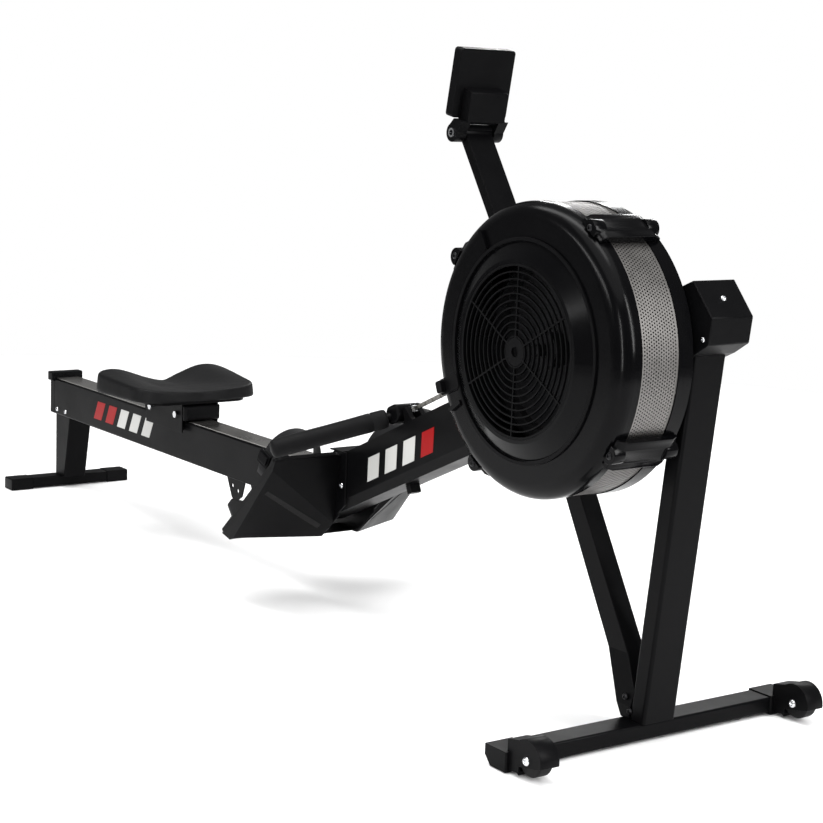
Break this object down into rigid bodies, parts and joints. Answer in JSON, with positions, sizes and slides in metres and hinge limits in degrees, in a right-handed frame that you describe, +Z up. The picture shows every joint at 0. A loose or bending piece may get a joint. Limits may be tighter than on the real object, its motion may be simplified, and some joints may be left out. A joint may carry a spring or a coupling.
{
  "type": "rowing machine",
  "caption": "Air rowing machine: flywheel in a round mesh-banded casing on a sloping beam, chain handle, folding monitor arm, strapped foot rests and a seat that rolls along a level rail.",
  "frame": {"origin": "on the floor under the middle of the whole machine", "axes": "+X along the seat rail towards the flywheel, +Y to the rower's left, +Z up"},
  "size_m": [2.3308, 0.61, 1.0816],
  "materials": {
    "steel_black": "satin black powder coat",
    "stainless": "brushed stainless strip",
    "abs_black": "satin black moulded ABS",
    "abs_gloss": "gloss black moulded ABS",
    "mesh_steel": "perforated steel sheet",
    "zinc_bolt": "bright zinc plating",
    "rubber_black": "matt black rubber",
    "foam_grip": "matt closed-cell foam",
    "seat_foam": "matt moulded polyurethane foam",
    "strap_web": "woven polyester webbing",
    "chain_steel": "nickel-plated chain",
    "cast_wheel": "turned and blackened",
    "fan_alloy": "pressed aluminium",
    "screen_glass": "liquid crystal window",
    "cord_elastic": "braided elastic cord",
    "nylon": "white nylon"
  },
  "bodies": {
    "frame": {"main_beam": "steel_black", "beam_front_cap": "abs_black", "front_leg": "steel_black", "rear_strut": "steel_black", "front_crossbar": "steel_black", "front_end_caps": "abs_black", "front_foot_pads": "rubber_black", "frame_bolts": "zinc_bolt", "seat_rail": "steel_black", "rail_strip": "stainless", "rail_end_stop": "abs_black", "rear_leg": "steel_black", "rear_foot_bar": "steel_black", "rear_foot_caps": "abs_black", "rail_hook_bracket": "steel_black", "foot_saddle": "steel_black", "foot_shrouds": "abs_black", "foot_boards": "abs_black", "foot_straps": "strap_web", "handle_hook": "abs_black", "casing_near_shell": "abs_gloss", "casing_far_shell": "abs_gloss", "casing_mesh_band": "mesh_steel", "casing_clamps": "abs_gloss", "intake_grille": "abs_black", "axle_bearings": "zinc_bolt", "bearing_cap": "abs_black", "sprocket_cover": "abs_black", "drive_chain": "chain_steel", "beam_pins": "zinc_bolt", "elastic_cord": "cord_elastic", "arm_bracket": "steel_black"},
    "flywheel": {"flywheel_axle": "zinc_bolt", "flywheel_disc": "cast_wheel", "fan_blades": "fan_alloy"},
    "sprocket": {"drive_sprocket": "chain_steel"},
    "handle": {"handle_bar": "steel_black", "hand_grips": "foam_grip", "chain_clevis": "zinc_bolt"},
    "return_carriage": {"return_block": "steel_black"},
    "return_wheel": {"return_pulley": "nylon"},
    "cord_wheel": {"cord_idler": "nylon"},
    "seat": {"seat_cushion": "seat_foam", "seat_carriage": "steel_black", "seat_axles": "zinc_bolt", "seat_guides": "nylon"},
    "front_rollers": {"seat_rollers_front": "nylon"},
    "rear_rollers": {"seat_rollers_rear": "nylon"},
    "wheel_right": {"transport_wheel_right": "rubber_black"},
    "wheel_left": {"transport_wheel_left": "rubber_black"},
    "damper": {"damper_ring": "abs_black"},
    "arm": {"monitor_arm": "steel_black", "arm_pins": "zinc_bolt"},
    "monitor": {"monitor_housing": "abs_black", "monitor_screen": "screen_glass", "monitor_back_box": "abs_black"},
    "button_1": {"monitor_button_1": "rubber_black"},
    "button_2": {"monitor_button_2": "rubber_black"},
    "heel_right": {"heel_rest_right": "abs_black"},
    "heel_left": {"heel_rest_left": "abs_black"}
  },
  "joints": [
    {"name": "flywheel_spin", "type": "hinge", "parent": "frame", "child": "flywheel", "pos_m": [0.9136, 0, 0.613], "axis": [0, 1, 0], "continuous": true},
    {"name": "handle_pull", "type": "slide", "parent": "frame", "child": "handle", "axis": [-0.9863, 0, 0.165], "range_m": [0, 1.15], "stiffness_N_per_m": 16, "springref_m": -1.2, "deforming": ["drive_chain", "elastic_cord"]},
    {"name": "sprocket_turn", "type": "hinge", "parent": "frame", "child": "sprocket", "pos_m": [0.9136, 0, 0.613], "axis": [0, -1, 0], "range_deg": [0, 1180]},
    {"name": "return_travel", "type": "slide", "parent": "frame", "child": "return_carriage", "axis": [0.911, 0, 0.4123], "range_m": [0, 0.58]},
    {"name": "return_wheel_turn", "type": "hinge", "parent": "return_carriage", "child": "return_wheel", "pos_m": [0.26305, 0, 0.28048], "axis": [0, -1, 0], "range_deg": [0, 1500]},
    {"name": "cord_wheel_turn", "type": "hinge", "parent": "frame", "child": "cord_wheel", "pos_m": [0.18398, 0, 0.26884], "axis": [0, -1, 0], "range_deg": [0, 1500]},
    {"name": "seat_slide", "type": "slide", "parent": "frame", "child": "seat", "axis": [1, 0, 0], "range_m": [-0.42, 0.32]},
    {"name": "front_roller_turn", "type": "hinge", "parent": "seat", "child": "front_rollers", "pos_m": [-0.4774, 0, 0.2856], "axis": [0, 1, 0], "range_deg": [-1860, 1420]},
    {"name": "rear_roller_turn", "type": "hinge", "parent": "seat", "child": "rear_rollers", "pos_m": [-0.5974, 0, 0.2856], "axis": [0, 1, 0], "range_deg": [-1860, 1420]},
    {"name": "transport_wheel_right_spin", "type": "hinge", "parent": "frame", "child": "wheel_right", "pos_m": [1.0986, -0.28, 0.031], "axis": [0, 1, 0], "continuous": true},
    {"name": "transport_wheel_left_spin", "type": "hinge", "parent": "frame", "child": "wheel_left", "pos_m": [1.0986, 0.28, 0.031], "axis": [0, 1, 0], "continuous": true},
    {"name": "damper_turn", "type": "hinge", "parent": "frame", "child": "damper", "pos_m": [0.9136, 0, 0.613], "axis": [0, 1, 0], "range_deg": [0, 68]},
    {"name": "arm_fold", "type": "hinge", "parent": "frame", "child": "arm", "pos_m": [0.7236, 0, 0.624], "axis": [0, 1, 0], "range_deg": [-15, 45]},
    {"name": "monitor_tilt", "type": "hinge", "parent": "arm", "child": "monitor", "pos_m": [0.5123, 0, 0.9354], "axis": [0, 1, 0], "range_deg": [-20, 25]},
    {"name": "button_1_press", "type": "slide", "parent": "monitor", "child": "button_1", "axis": [0.9829, 0, -0.184], "range_m": [0, 0.001], "stiffness_N_per_m": 400, "springref_m": -0.0006},
    {"name": "button_2_press", "type": "slide", "parent": "monitor", "child": "button_2", "axis": [0.9829, 0, -0.184], "range_m": [0, 0.001], "stiffness_N_per_m": 400, "springref_m": -0.0006},
    {"name": "heel_right_adjust", "type": "slide", "parent": "frame", "child": "heel_right", "axis": [0.7375, 0, 0.6754], "range_m": [0, 0.04]},
    {"name": "heel_left_adjust", "type": "slide", "parent": "frame", "child": "heel_left", "axis": [0.7375, 0, 0.6754], "range_m": [0, 0.04]}
  ],
  "couplings": [
    {"joint": "sprocket_turn", "follows": "handle_pull", "rad_per_m": 17.632},
    {"joint": "return_travel", "follows": "handle_pull", "ratio": 0.5},
    {"joint": "return_wheel_turn", "follows": "handle_pull", "rad_per_m": 22.727},
    {"joint": "cord_wheel_turn", "follows": "handle_pull", "rad_per_m": 22.727},
    {"joint": "front_roller_turn", "follows": "seat_slide", "rad_per_m": 76.923},
    {"joint": "rear_roller_turn", "follows": "seat_slide", "rad_per_m": 76.923}
  ]
}
